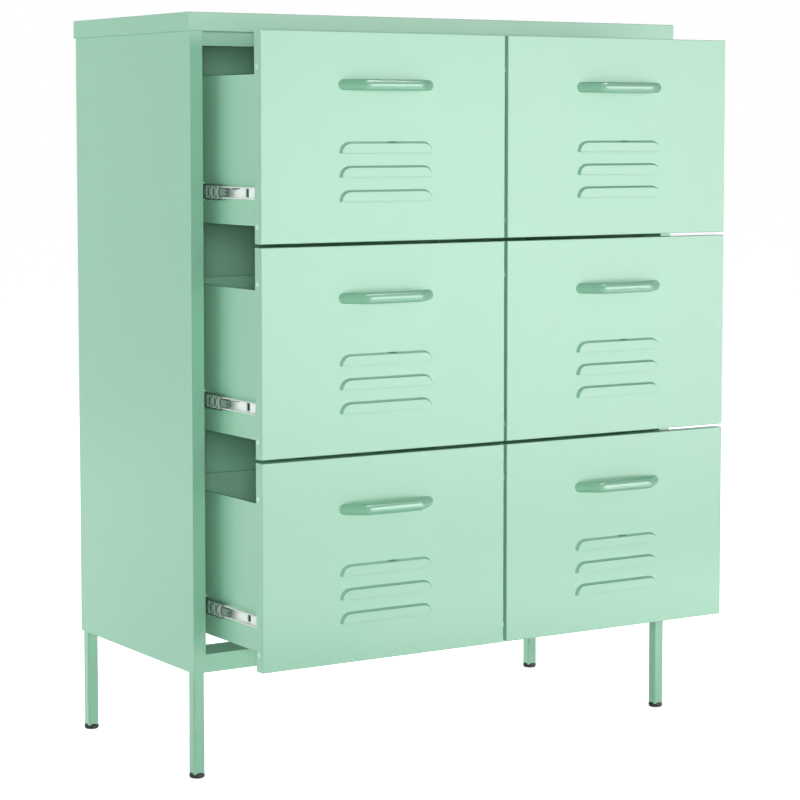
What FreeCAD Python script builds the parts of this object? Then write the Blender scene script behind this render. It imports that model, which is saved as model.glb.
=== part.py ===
"""Six-drawer steel cabinet on square-tube legs, standing with every drawer pulled out by the same amount.

Frame: +Z up, floor at Z = 0, and the origin in the middle of the whole outline, open drawers and handles
included. The drawers open towards -Y, and -X is the left side as seen from the front. Lengths are in millimetres.
The Sizes sheet holds the driving dimensions, and every sketch and placement is tied to its cells by expressions.
"""
import FreeCAD, Part
import math
import os

import Sketcher

SIZES = {
    # whole cabinet
    "cabinet_width": 800.0,        # over the lid
    "cabinet_depth": 350.0,        # over the lid
    "cabinet_height": 1015.0,      # floor to the lid's top
    "sheet": 1.0,                  # thickness of every folded steel panel
    "lid_skirt": 24.5,             # height of the lid's folded edge
    "lid_overhang": 2.5,           # lid beyond the side panels, each side
    "body_bottom": 143.0,          # floor to the underside of the body
    "seam_gap": 0.2,               # between folded edges that only pass each other
    # side panels
    "return_width": 18.2,          # front and rear returns, with the wall
    "front_lip": 45.0,             # lip behind the front return, which carries the slides
    "rear_lip": 55.0,              # lip before the rear return
    # rails, partition and back
    "rail_height": 24.5,
    "rail_depth": 57.0,
    "rail_lip": 10.0,
    "top_rail_drop": 18.6,         # visible below the lid's skirt
    "top_rail_setback": 18.0,      # behind the front plane, clear of the closed drawer fronts
    "top_rail_foot": 9.0,
    "partition_thick": 1.2,
    "back_thick": 0.8,
    # legs
    "leg_size": 16.0,
    "leg_wall": 1.2,
    "leg_corner": 2.5,
    "leg_inset": 5.2,              # lid's edge to the leg, both ways
    "leg_cap": 3.0,
    "leg_bolt": 8.0,
    "bolt_clearance": 0.3,
    "bolt_head": 12.0,
    "bolt_head_height": 4.0,
    "bolt_length": 14.0,
    "glide_height": 5.5,
    "glide_diameter": 19.7,
    "glide_round": 1.2,
    "glide_plug": 16.0,
    "plug_gap": 0.15,
    # drawer fronts
    "side_gap": 3.5,
    "column_gap": 4.9,
    "row_gap": 4.5,
    "top_gap": 3.1,
    "bottom_gap": 0.9,             # bottom rail to the lowest fronts
    "front_thick": 15.9,
    "front_flange": 20.0,
    "edge_round": 0.6,
    # louvres
    "louvre_width": 143.0,
    "louvre_height": 15.0,         # and the radius of the hood's corners
    "louvre_pitch": 31.15,
    "louvre_top": 129.6,           # top louvre's upper edge above the front's bottom
    "louvre_depth": 4.2,
    "louvre_slope": 2.8,           # ramp of the hood's top and ends, seen from the front
    # handle
    "handle_drop": 66.7,           # front's upper edge to the handle's middle
    "handle_tall": 15.2,
    "handle_thick": 9.4,
    "handle_edge": 3.4,            # width of the flats along its upper and lower edges
    "handle_reach": 24.3,          # front face to the outside of the grip
    "handle_length": 145.0,
    "handle_ramp": 40.0,           # degrees between the front and the handle's ends
    "handle_bend": 11.3,           # inner radius where the ends turn into the grip
    "handle_screw_span": 124.4,
    # drawer box
    "box_rise": 22.2,              # above the front's bottom
    "box_drop": 55.2,              # front's upper edge to the box's rim
    "box_rear_gap": 32.1,          # box to the rear returns when the drawer is shut
    "box_hem": 9.0,
    "plate_flange": 10.0,
    "plate_gap": 0.1,
    # slides
    "slide_thick": 12.7,
    "slide_rise": 63.8,            # slide's middle above the front's bottom
    "slide_setback": 1.0,          # outer channel behind the shut drawer front
    "slide_wall": 1.2,
    "outer_tall": 24.0,
    "outer_reach": 11.2,
    "outer_lip": 0.9,
    "inner_tall": 15.3,
    "inner_reach": 9.1,
    "cage_web_at": 2.2,
    "cage_wall": 0.6,
    "cage_tall": 19.4,
    "cage_wing": 1.3,
    "cage_reach": 9.4,
    "cage_length": 150.0,
    "bumper_gap": 0.8,             # bumper to the drawer front's back when the drawer is shut
    "bumper_tall": 9.8,
    "bumper_length": 14.6,
    "bumper_reach": 8.6,
    "catch_at": 50.1,              # catch slot's middle behind the front face
    "catch_width": 8.9,
    "catch_height": 10.7,
    "lug_at": 80.5,
    "lug_width": 21.0,
    "lug_height": 1.8,
    # screws
    "screw_diameter": 4.0,
    "screw_clearance": 0.2,
    "side_screw_head": 7.6,
    "side_screw_height": 1.2,
    "side_screw_length": 8.0,
    "side_screw_depth": 9.2,       # behind the front face
    "side_screw_low": 22.6,        # above the front's bottom
    "side_screw_drop": 45.8,       # front's upper edge to the upper screw
    "handle_screw_head": 7.0,
    "handle_screw_height": 2.4,
    "handle_screw_bite": 5.0,
    # pose
    "drawer_pull": 148.5,          # how far each drawer stands open
}

ROWS = ("top", "middle", "bottom")
COLUMNS = {"left": -1, "right": 1}
LOUVRES = 3
HOOD_ANGLES = (0, 22.5, 45, 67.5, 90)

doc = FreeCAD.newDocument("drawer_cabinet")
sheet = doc.addObject("Spreadsheet::Sheet", "Sizes")
for line, (alias, number) in enumerate(SIZES.items(), start=1):
    sheet.set(f"A{line}", alias)
    sheet.set(f"B{line}", str(number))
    sheet.setAlias(f"B{line}", alias)
doc.recompute()

nodes = []


def size(name):
    """The expression that reads one cell of the sheet."""
    return f"Sizes.{name}"


def value(expression):
    """What an expression comes to now, as a plain number."""
    found = sheet.evalExpression(str(expression))
    return float(getattr(found, "Value", found))


def times(factor, expression):
    """An expression multiplied by a plain factor."""
    return f"{factor} * ({expression})"


# ---- places that several pieces share, as expressions ----
HALF_WIDTH = f"({size('cabinet_width')} / 2)"
SHEET = size("sheet")
HANDLE_OUT = f"({size('drawer_pull')} + {size('handle_reach')})"
FRONT_PLANE = f"(({HANDLE_OUT} - {size('cabinet_depth')}) / 2)"
LID_REAR = f"({FRONT_PLANE} + {size('cabinet_depth')})"
WALL_OUT = f"({HALF_WIDTH} - {size('lid_overhang')})"
WALL_IN = f"({WALL_OUT} - {SHEET})"
LIP_IN = f"({WALL_OUT} - {size('return_width')})"
LIP_OUT = f"({LIP_IN} + {SHEET})"
BACK_OUT = f"({LID_REAR} - {SHEET} - {size('seam_gap')})"
REAR_PLANE = f"({BACK_OUT} - {size('back_thick')})"
LID_UNDER = f"({size('cabinet_height')} - {SHEET})"
SKIRT_EDGE = f"({size('cabinet_height')} - {size('lid_skirt')})"
RAIL_TOP = f"({size('body_bottom')} + {size('rail_height')})"
FRONT_OUT = f"({LIP_IN} - {size('side_gap')})"
FRONT_IN = f"({size('column_gap')} / 2)"
FRONT_MIDDLE = f"(({FRONT_OUT} + {FRONT_IN}) / 2)"
BOX_OUT = f"({LIP_IN} - {size('slide_thick')})"
BOX_IN = f"({size('partition_thick')} / 2 + {size('slide_thick')})"
LEG_MIDDLE_X = f"({HALF_WIDTH} - {size('leg_inset')} - {size('leg_size')} / 2)"
LEG_FRONT_Y = f"({FRONT_PLANE} + {size('leg_inset')} + {size('leg_size')} / 2)"
LEG_REAR_Y = f"({REAR_PLANE} - {size('leg_size')} / 2)"
FRONTS_SPAN = f"({SKIRT_EDGE} - {size('top_gap')} - {RAIL_TOP} - {size('bottom_gap')})"
FRONT_TALL = f"(({FRONTS_SPAN} - {len(ROWS) - 1} * {size('row_gap')}) / {len(ROWS)})"
HANDLE_LEVEL = f"({FRONT_TALL} - {size('handle_drop')})"
BOX_TALL = f"({FRONT_TALL} - {size('box_rise')} - {size('box_drop')})"
BOX_DEPTH = f"({REAR_PLANE} - {FRONT_PLANE} - {size('front_thick')} - {size('box_rear_gap')})"
DRAWER_FACE = f"({FRONT_PLANE} - {size('drawer_pull')})"
CAGE_SHUT = f"({FRONT_PLANE} + {size('front_thick')} + {size('bumper_gap')} + {size('bumper_length')})"
CAGE_FRONT = f"({CAGE_SHUT} - {size('drawer_pull')} / 2)"


def row_bottom(row):
    """Height of the bottom edge of a drawer front, for row 0 at the top."""
    pitch = f"({FRONT_TALL} + {size('row_gap')})"
    return f"({SKIRT_EDGE} - {size('top_gap')} - {FRONT_TALL} - {row} * {pitch})"


# ---- sketches and features ----
PLANES = {"XY": ("XY_Plane", 1), "XZ": ("XZ_Plane", -1), "YZ": ("YZ_Plane", 1)}


def square(u, v, half, corner=None):
    """A square about a point."""
    return rectangle(f"{u} - {half}", f"{v} - {half}", f"{u} + {half}", f"{v} + {half}", corner)


def rectangle(low_u, low_v, high_u, high_v, corner=None):
    """Four corners, each a pair of expressions and a corner radius or None."""
    return [(low_u, low_v, corner), (high_u, low_v, corner), (high_u, high_v, corner), (low_u, high_v, corner)]


def unit_step(start, end):
    """Direction of an edge along one axis, as whole numbers."""
    du = value(end[0]) - value(start[0])
    dv = value(end[1]) - value(start[1])
    return (0, int(math.copysign(1, dv))) if abs(dv) > abs(du) else (int(math.copysign(1, du)), 0)


def corner_points(outline):
    """The outline's points, with two at each rounded corner, and the radius that joins those two."""
    points = []
    for index, (u, v, radius) in enumerate(outline):
        if radius is None:
            points.append((u, v, None))
            continue
        before = unit_step(outline[index - 1], outline[index])
        after = unit_step(outline[index], outline[(index + 1) % len(outline)])
        points.append((f"{u} - ({before[0]}) * ({radius})", f"{v} - ({before[1]}) * ({radius})", radius))
        points.append((f"{u} + ({after[0]}) * ({radius})", f"{v} + ({after[1]}) * ({radius})", None))
    return points


def arc_between(start, end, radius, left_turn):
    """A short circular arc of a radius from start to end, which turns left or right."""
    chord = end - start
    rise = math.sqrt(max(radius ** 2 - (chord.Length / 2) ** 2, 0.0))
    normal = FreeCAD.Vector(-chord.y, chord.x, 0).normalize()
    centre = (start + end) / 2 + normal * (rise if left_turn else -rise)
    first, last = (start, end) if left_turn else (end, start)
    circle = Part.Circle(centre, FreeCAD.Vector(0, 0, 1), radius)
    return Part.ArcOfCircle(circle, circle.parameter(first), circle.parameter(last))


def pin_point(sketch, geometry, end, u, v):
    """Ties one end of a sketch line or arc to two expressions."""
    for kind, expression in (("DistanceX", u), ("DistanceY", v)):
        index = sketch.addConstraint(Sketcher.Constraint(kind, -1, 1, geometry, end, value(expression)))
        sketch.setExpression(f"Constraints[{index}]", str(expression))


def draw_outline(sketch, points, closed=True):
    """Draws lines and arcs through points; a radius at a point makes an arc to the next one."""
    places = [FreeCAD.Vector(value(u), value(v), 0) for u, v, _ in points]
    count = len(points) if closed else len(points) - 1
    for index in range(count):
        after = (index + 1) % len(points)
        start, end = places[index], places[after]
        radius = points[index][2]
        if radius is None:
            geometry = sketch.addGeometry(Part.LineSegment(start, end))
            ends = (1, 2)
        else:
            incoming = start - places[index - 1] if closed or index else FreeCAD.Vector(0, -1, 0)
            left_turn = incoming.cross(end - start).z > 0
            geometry = sketch.addGeometry(arc_between(start, end, value(radius), left_turn))
            ends = (1, 2) if left_turn else (2, 1)
            bend = sketch.addConstraint(Sketcher.Constraint("Radius", geometry, value(radius)))
            sketch.setExpression(f"Constraints[{bend}]", str(radius))
        pin_point(sketch, geometry, ends[0], *points[index][:2])
        pin_point(sketch, geometry, ends[1], *points[after][:2])


def draw_circle(sketch, u, v, radius):
    """Draws a circle tied to three expressions."""
    middle = FreeCAD.Vector(value(u), value(v), 0)
    circle = Part.Circle(middle, FreeCAD.Vector(0, 0, 1), value(radius))
    geometry = sketch.addGeometry(circle)
    pin_point(sketch, geometry, 3, u, v)
    bend = sketch.addConstraint(Sketcher.Constraint("Radius", geometry, value(radius)))
    sketch.setExpression(f"Constraints[{bend}]", str(radius))


def new_sketch(body, plane, at):
    """An empty sketch on a plane of the body's origin, at a distance along the plane's axis."""
    role, sense = PLANES[plane]
    sketch = body.newObject("Sketcher::SketchObject", "Profile")
    support = next(item for item in body.Origin.OriginFeatures if item.Role == role)
    sketch.AttachmentSupport = [(support, "")]
    sketch.MapMode = "FlatFace"
    sketch.setExpression("AttachmentOffset.Base.z", times(sense, at))
    return sketch


def extrude(body, plane, start, length, outlines=(), circles=(), cut=False):
    """Adds or cuts a slab from start, along the plane's positive axis, with the given outlines."""
    sketch = new_sketch(body, plane, start)
    for outline in outlines:
        draw_outline(sketch, corner_points(outline))
    for circle in circles:
        draw_circle(sketch, *circle)
    feature = body.newObject("PartDesign::Pocket" if cut else "PartDesign::Pad", "Pocket" if cut else "Pad")
    feature.Profile = sketch
    feature.setExpression("Length", length)
    feature.Reversed = (PLANES[plane][1] < 0) != cut
    return feature


def new_body(label, y="0", z="0", listed=True):
    """A body at a height and depth; listed bodies are sub-parts of their own."""
    body = doc.addObject("PartDesign::Body", label)
    body.Label = label
    body.setExpression("Placement.Base.y", y)
    body.setExpression("Placement.Base.z", z)
    if listed:
        nodes.append(body)
    return body


def ease_edges(body, width, wanted):
    """Chamfers the edges of the body's tip for which wanted(edge) holds."""
    doc.recompute()
    tip = body.Tip
    names = [f"Edge{index}" for index, edge in enumerate(tip.Shape.Edges, start=1) if wanted(edge)]
    chamfer = body.newObject("PartDesign::Chamfer", "Chamfer")
    chamfer.Base = (tip, names)
    chamfer.setExpression("Size", width)
    return chamfer


def group(label, pieces):
    """Several separate solids that share one sub-part."""
    compound = doc.addObject("Part::Compound", label)
    compound.Label = label
    compound.Links = pieces
    nodes.append(compound)
    return compound


def spindle(name, axis, place, steps):
    """A screw or bolt: steps are (sides, radius, length), one after another along the axis."""
    turn = {"x": (0, 90, 0), "y": (0, 0, -90), "z": (0, 0, 0)}[axis]
    rotation = FreeCAD.Rotation(*turn)
    prisms = []
    along = "0"
    for sides, radius, length in steps:
        prism = doc.addObject("Part::Prism", name)
        prism.Polygon = sides
        prism.setExpression("Circumradius", radius)
        prism.setExpression("Height", length)
        prism.Placement.Rotation = rotation
        for letter, expression in zip("xyz", place):
            shift = f"{expression} + {along}" if letter == axis else expression
            prism.setExpression(f"Placement.Base.{letter}", shift)
        along = f"{along} + {length}"
        prisms.append(prism)
    joined = doc.addObject("Part::MultiFuse", name)
    joined.Shapes = prisms
    return joined


# ---- the cabinet's shell ----
def make_lid():
    """A shallow pan, folded down on all four sides."""
    body = new_body("lid")
    outer = rectangle(f"-{HALF_WIDTH}", FRONT_PLANE, HALF_WIDTH, LID_REAR)
    extrude(body, "XY", SKIRT_EDGE, size("lid_skirt"), [outer])
    inner = rectangle(f"-{HALF_WIDTH} + {SHEET}", f"{FRONT_PLANE} + {SHEET}",
                      f"{HALF_WIDTH} - {SHEET}", f"{LID_REAR} - {SHEET}")
    extrude(body, "XY", SKIRT_EDGE, f"{size('lid_skirt')} - {SHEET}", [inner], cut=True)
    top = value(size("cabinet_height"))
    ease_edges(body, size("edge_round"), lambda edge: edge.BoundBox.ZMin > top - 0.01)


def make_side_panel(label, side):
    """A wall with returns at the front and rear, and lips that run back inside."""
    body = new_body(label)
    front, rear = FRONT_PLANE, REAR_PLANE
    path = [
        (WALL_OUT, front), (WALL_OUT, rear), (LIP_IN, rear), (LIP_IN, f"{rear} - {size('rear_lip')}"),
        (LIP_OUT, f"{rear} - {size('rear_lip')}"), (LIP_OUT, f"{rear} - {SHEET}"), (WALL_IN, f"{rear} - {SHEET}"),
        (WALL_IN, f"{front} + {SHEET}"), (LIP_OUT, f"{front} + {SHEET}"),
        (LIP_OUT, f"{front} + {size('front_lip')}"), (LIP_IN, f"{front} + {size('front_lip')}"), (LIP_IN, front),
    ]
    outline = [(times(side, x), y, None) for x, y in path]
    extrude(body, "XY", size("body_bottom"), f"{LID_UNDER} - {size('body_bottom')}", [outline])
    gap = size("seam_gap")
    skirt_notch = rectangle(times(side, f"{LIP_IN} - {gap}"), f"{front} - {gap}",
                            times(side, f"{WALL_OUT} + {gap}"), f"{front} + {SHEET} + {gap}")
    extrude(body, "XY", f"{SKIRT_EDGE} - {gap}", size("lid_skirt"), [skirt_notch], cut=True)
    flange_notch = rectangle(times(side, f"{LIP_IN} - {gap}"), f"{front} + {SHEET}",
                             times(side, WALL_IN), f"{rear} - {SHEET}")
    extrude(body, "XY", size("body_bottom"), f"{SHEET} + {gap}", [flange_notch], cut=True)


def make_back_panel():
    """A flat sheet welded behind the rear returns."""
    body = new_body("back_panel")
    low = f"{size('body_bottom')} + {size('seam_gap')}"
    high = f"{LID_UNDER} - {size('seam_gap')}"
    edge = f"({WALL_OUT} - {size('seam_gap')})"
    extrude(body, "XZ", REAR_PLANE, size("back_thick"), [rectangle(f"-{edge}", low, edge, high)])


def make_partition():
    """The upright sheet between the two columns, notched round the top rail."""
    body = new_body("centre_partition")
    half = f"({size('partition_thick')} / 2)"
    front = f"({FRONT_PLANE} + {size('top_rail_setback')} + {SHEET} + {size('seam_gap')})"
    notch_back = f"({FRONT_PLANE} + {size('top_rail_setback')} + {size('top_rail_foot')} + {size('seam_gap')})"
    notch_low = f"({SKIRT_EDGE} - {size('top_rail_drop')} - {size('seam_gap')})"
    outline = [(front, RAIL_TOP, None), (REAR_PLANE, RAIL_TOP, None), (REAR_PLANE, LID_UNDER, None),
               (notch_back, LID_UNDER, None), (notch_back, notch_low, None), (front, notch_low, None)]
    extrude(body, "YZ", f"-{half}", size("partition_thick"), [outline])


def make_top_rail():
    """An angle across the front, under the lid."""
    body = new_body("top_front_rail")
    front = f"({FRONT_PLANE} + {size('top_rail_setback')})"
    low = f"({SKIRT_EDGE} - {size('top_rail_drop')})"
    foot = f"{front} + {size('top_rail_foot')}"
    outline = [(front, low, None), (foot, low, None), (foot, f"{low} + {SHEET}", None),
               (f"{front} + {SHEET}", f"{low} + {SHEET}", None), (f"{front} + {SHEET}", LID_UNDER, None),
               (front, LID_UNDER, None)]
    extrude(body, "YZ", f"-{LIP_IN}", times(2, LIP_IN), [outline])


def make_bottom_rail(label, plane, inward, leg_y):
    """A channel across the body's bottom, whose lower flange runs out over the legs."""
    body = new_body(label)
    low = size("body_bottom")
    far = f"({plane} + {inward} * {size('rail_depth')})"
    face = f"({plane} + {inward} * {SHEET})"
    lip = f"({far} - {inward} * {SHEET})"
    lip_low = f"({RAIL_TOP} - {size('rail_lip')})"
    outline = [(plane, low, None), (far, low, None), (far, f"{low} + {SHEET}", None),
               (face, f"{low} + {SHEET}", None), (face, f"{RAIL_TOP} - {SHEET}", None),
               (lip, f"{RAIL_TOP} - {SHEET}", None), (lip, lip_low, None), (far, lip_low, None),
               (far, RAIL_TOP, None), (plane, RAIL_TOP, None)]
    extrude(body, "YZ", f"-{LIP_IN}", times(2, LIP_IN), [outline])
    near, end = (face, far) if inward > 0 else (far, face)
    edge = f"({WALL_IN} - {size('seam_gap')})"
    for side in COLUMNS.values():
        flange = rectangle(times(side, LIP_IN), near, times(side, edge), end)
        extrude(body, "XY", low, SHEET, [flange])
    holes = [square(times(side, LEG_MIDDLE_X), leg_y, bolt_hole()) for side in COLUMNS.values()]
    extrude(body, "XY", low, SHEET, holes, cut=True)


def bolt_hole():
    """Half of the square hole that a leg bolt passes through."""
    return f"({size('leg_bolt')} / 2 + {size('bolt_clearance')})"


# ---- legs ----
def leg_places():
    """Names and middles of the four legs."""
    for end, y in (("front", LEG_FRONT_Y), ("rear", LEG_REAR_Y)):
        for name, side in COLUMNS.items():
            yield f"{end}_{name}", times(side, LEG_MIDDLE_X), y


def make_leg(name, x, y):
    """A square tube, closed at the top by a plate that takes the bolt."""
    body = new_body(f"leg_{name}")
    half = f"{size('leg_size')} / 2"
    height = f"({size('body_bottom')} - {size('glide_height')})"
    extrude(body, "XY", size("glide_height"), height, [square(x, y, half, size("leg_corner"))])
    bore = square(x, y, f"({half} - {size('leg_wall')})")
    extrude(body, "XY", size("glide_height"), f"{height} - {size('leg_cap')}", [bore], cut=True)
    cap_low = f"{size('body_bottom')} - {size('leg_cap')}"
    extrude(body, "XY", cap_low, size("leg_cap"), [square(x, y, bolt_hole())], cut=True)


def make_glide(name, x, y):
    """A round foot with a square plug that goes up into the tube."""
    body = new_body(f"glide_{name}", listed=False)
    extrude(body, "XY", "0", size("glide_height"), circles=[(x, y, f"{size('glide_diameter')} / 2")])
    ease_edges(body, size("glide_round"), lambda edge: edge.Curve.TypeId == "Part::GeomCircle")
    half = f"({size('leg_size')} / 2 - {size('leg_wall')} - {size('plug_gap')})"
    extrude(body, "XY", size("glide_height"), size("glide_plug"), [square(x, y, half)])
    return body


def make_leg_bolt(name, x, y):
    """A bolt that goes down through the rail's flange into the leg's cap."""
    shank = f"({size('bolt_length')})"
    low = f"({size('body_bottom')} + {SHEET} - {shank})"
    steps = [(8, f"{size('leg_bolt')} / 2", shank), (6, f"{size('bolt_head')} / 2", size("bolt_head_height"))]
    return spindle(f"leg_bolt_{name}", "z", (x, y, low), steps)


# ---- slides: across is measured from the cabinet side towards the drawer, up from the slide's middle ----
def slide_outline(half_profile, base, sense):
    """A profile mirrored about the slide's middle line, standing on a base and reaching out in a sense."""
    upper = [(across, up) for across, up in half_profile]
    lower = [(across, f"-({up})") for across, up in reversed(half_profile)]
    return [(f"{base} + {sense} * ({across})", up, None) for across, up in upper + lower]


def slide_bases(column):
    """Cabinet-side planes of a drawer's two slides, and which way each reaches."""
    outer = (times(column, LIP_IN), -column)
    inner = (times(column, f"{size('partition_thick')} / 2"), column)
    return outer, inner


def make_cabinet_members(name, column, row):
    """The outer channels, fixed to the side panel's lips and to the partition."""
    tall, wall = f"{size('outer_tall')} / 2", size("slide_wall")
    inner = f"({tall} - {wall})"
    reach, lip = size("outer_reach"), size("outer_lip")
    half = [(wall, inner), (f"{reach} - {wall}", inner), (f"{reach} - {wall}", f"{inner} - {lip}"),
            (reach, f"{inner} - {lip}"), (reach, tall), ("0", tall)]
    outlines = [slide_outline(half, base, sense) for base, sense in slide_bases(column)]
    front = f"{FRONT_PLANE} + {size('front_thick')} + {size('slide_setback')}"
    body = new_body(f"cabinet_members_{name}", front, f"{row_bottom(row)} + {size('slide_rise')}")
    extrude(body, "XZ", "0", BOX_DEPTH, outlines)


def make_drawer_members(name, column, row):
    """The inner channels, fixed to the drawer box, with a catch slot and a lug slot near the front."""
    tall, wall, thick = f"{size('inner_tall')} / 2", size("slide_wall"), size("slide_thick")
    inner = f"({tall} - {wall})"
    tip = f"({thick} - {size('inner_reach')})"
    half = [(f"{thick} - {wall}", inner), (tip, inner), (tip, tall), (thick, tall)]
    outlines = [slide_outline(half, base, sense) for base, sense in slide_bases(column)]
    body = new_body(f"drawer_members_{name}", DRAWER_FACE, f"{row_bottom(row)} + {size('slide_rise')}")
    extrude(body, "XZ", size("front_thick"), BOX_DEPTH, outlines)
    slots = [rectangle(f"{size('catch_at')} - {size('catch_width')} / 2", f"-{size('catch_height')} / 2",
                       f"{size('catch_at')} + {size('catch_width')} / 2", f"{size('catch_height')} / 2"),
             rectangle(f"{size('lug_at')} - {size('lug_width')} / 2", f"{inner} - {size('lug_height')}",
                       f"{size('lug_at')} + {size('lug_width')} / 2", inner)]
    low, span = member_web_span(column)
    extrude(body, "YZ", low, span, slots, cut=True)


def member_web_span(column):
    """Across both webs of a drawer's inner channels: where the cut starts and how far it goes."""
    ends = (times(column, BOX_IN), times(column, BOX_OUT))
    low = min(ends, key=value)
    wall = size("slide_wall")
    return f"{low} - {wall}", f"{BOX_OUT} - {BOX_IN} + 2 * {wall}"


def make_ball_cages(name, column, row):
    """The strips that carry the balls, each with a soft bumper at its front end."""
    web, wall, tall = size("cage_web_at"), size("cage_wall"), f"{size('cage_tall')} / 2"
    wing = f"({tall} - {size('cage_wing')})"
    reach = size("cage_reach")
    half = [(f"{web} + {wall}", wing), (reach, wing), (reach, tall), (web, tall)]
    bases = slide_bases(column)
    outlines = [slide_outline(half, base, sense) for base, sense in bases]
    height = f"{row_bottom(row)} + {size('slide_rise')}"
    body = new_body(f"ball_cages_{name}", CAGE_FRONT, height)
    extrude(body, "XZ", "0", size("cage_length"), outlines)
    lobe = f"({size('bumper_tall')} / 4)"
    end = f"-{size('bumper_length')}"
    neck = f"({end} + {lobe})"
    half = [(end, f"{lobe} / 2"), (end, f"3 * {lobe} / 2"), (neck, f"2 * {lobe}"), ("0", f"2 * {lobe}")]
    bumper = [(along, up, None) for along, up in half]
    bumper += [(along, f"-{up}", None) for along, up in reversed(half)]
    bumper.append((neck, "0", None))
    for base, sense in bases:
        near = f"{base} + {sense} * {web}"
        far = f"{base} + {sense} * {size('bumper_reach')}"
        extrude(body, "YZ", min((near, far), key=value), f"{size('bumper_reach')} - {web}", [bumper])


# ---- drawers: y is measured from the front face, z from the front's bottom edge ----
def span_of(column, inner, outer):
    """The two ends of a drawer piece along X, low end first."""
    ends = (times(column, inner), times(column, outer))
    return ends if column > 0 else ends[::-1]


def hood_outline(middle, top, inset):
    """Front view of a louvre hood: straight below, and each end turned up to the top in short folds."""
    half = f"({size('louvre_width')} / 2 - {inset})"
    corner = f"({size('louvre_height')} - {inset})"
    low = f"({top} - {size('louvre_height')})"
    turn = [(f"{half} - {corner} * (1 - cos({angle}))", f"{low} + {corner} * sin({angle})") for angle in HOOD_ANGLES]
    outline = [(f"{middle} + ({x})", z, None) for x, z in turn]
    return outline + [(f"{middle} - ({x})", z, None) for x, z in reversed(turn)]


def loft(body, cut, stages):
    """Adds or cuts a loft through outlines, each at its own distance along Y."""
    sketches = []
    for at, outline in stages:
        sketch = new_sketch(body, "XZ", at)
        draw_outline(sketch, corner_points(outline))
        sketches.append(sketch)
    kind = "PartDesign::SubtractiveLoft" if cut else "PartDesign::AdditiveLoft"
    feature = body.newObject(kind, "Hood")
    feature.Profile = sketches[0]
    feature.Sections = sketches[1:]
    feature.Ruled = True
    return feature


def make_pan(name, column, row):
    """A folded pan with three pressed louvres, open at the back between its two flanges."""
    body = new_body(f"pan_{name}", DRAWER_FACE, row_bottom(row), listed=False)
    low_x, high_x = span_of(column, FRONT_IN, FRONT_OUT)
    tall, thick, flange = FRONT_TALL, size("front_thick"), size("front_flange")
    extrude(body, "XZ", "0", thick, [rectangle(low_x, "0", high_x, tall)])
    inside = rectangle(f"{low_x} + {SHEET}", SHEET, f"{high_x} - {SHEET}", f"{tall} - {SHEET}")
    extrude(body, "XZ", SHEET, f"{thick} - 2 * {SHEET}", [inside], cut=True)
    opening = rectangle(f"{low_x} + {SHEET}", flange, f"{high_x} - {SHEET}", f"{tall} - {flange}")
    extrude(body, "XZ", f"{thick} - {SHEET}", SHEET, [opening], cut=True)
    ease_edges(body, size("edge_round"), lambda edge: edge.BoundBox.YMax < 0.01)
    middle = times(column, FRONT_MIDDLE)
    depth, slope = size("louvre_depth"), size("louvre_slope")
    for louvre in range(LOUVRES):
        top = f"({size('louvre_top')} - {louvre} * {size('louvre_pitch')})"
        loft(body, False, [(f"{SHEET} / 2", hood_outline(middle, top, "0")), ("0", hood_outline(middle, top, "0")),
                           (f"-{depth}", hood_outline(middle, top, slope))])
        loft(body, True, [(SHEET, hood_outline(middle, top, SHEET)), ("0", hood_outline(middle, top, SHEET)),
                          (f"{SHEET} - {depth}", hood_outline(middle, top, f"({slope} + {SHEET} / 2)"))])
    holes = [square(size("side_screw_depth"), level, screw_hole()) for level in side_screw_levels()]
    extrude(body, "YZ", low_x, f"{high_x} - {low_x}", holes, cut=True)
    feet = [square(f"{middle} + {sense} * {size('handle_screw_span')} / 2", HANDLE_LEVEL, screw_hole())
            for sense in (-1, 1)]
    extrude(body, "XZ", "0", SHEET, feet, cut=True)
    return body


def make_plate(name, column, row):
    """The sheet that closes the back of a front, with wings along its sides that are open round the side screws."""
    body = new_body(f"plate_{name}", DRAWER_FACE, row_bottom(row), listed=False)
    thick, gap = size("front_thick"), size("plate_gap")
    left, right = span_of(column, FRONT_IN, FRONT_OUT)
    left, right = f"({left} + {SHEET} + {gap})", f"({right} - {SHEET} - {gap})"
    bottom, top = f"({size('front_flange')} + {gap})", f"({FRONT_TALL} - {size('front_flange')} - {gap})"
    plate_face = f"({thick} - {SHEET})"
    wing = f"({thick} - {size('plate_flange')})"
    plate = [(left, wing, None), (f"{left} + {SHEET}", wing, None), (f"{left} + {SHEET}", plate_face, None),
             (f"{right} - {SHEET}", plate_face, None), (f"{right} - {SHEET}", wing, None), (right, wing, None),
             (right, thick, None), (left, thick, None)]
    extrude(body, "XY", bottom, f"{top} - {bottom}", [plate])
    notch_end = f"{size('side_screw_depth')} + {screw_hole()}"
    notches = [rectangle(f"{wing} - {gap}", f"{level} - {screw_hole()}", notch_end, f"{level} + {screw_hole()}")
               for level in side_screw_levels()]
    extrude(body, "YZ", left, f"{right} - {left}", notches, cut=True)
    return body


def screw_hole():
    """Half of the square hole that a screw passes through."""
    return f"({size('screw_diameter')} / 2 + {size('screw_clearance')})"


def side_screw_levels():
    """Heights of the screws in the sides of a drawer front."""
    return size("side_screw_low"), f"({FRONT_TALL} - {size('side_screw_drop')})"


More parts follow.
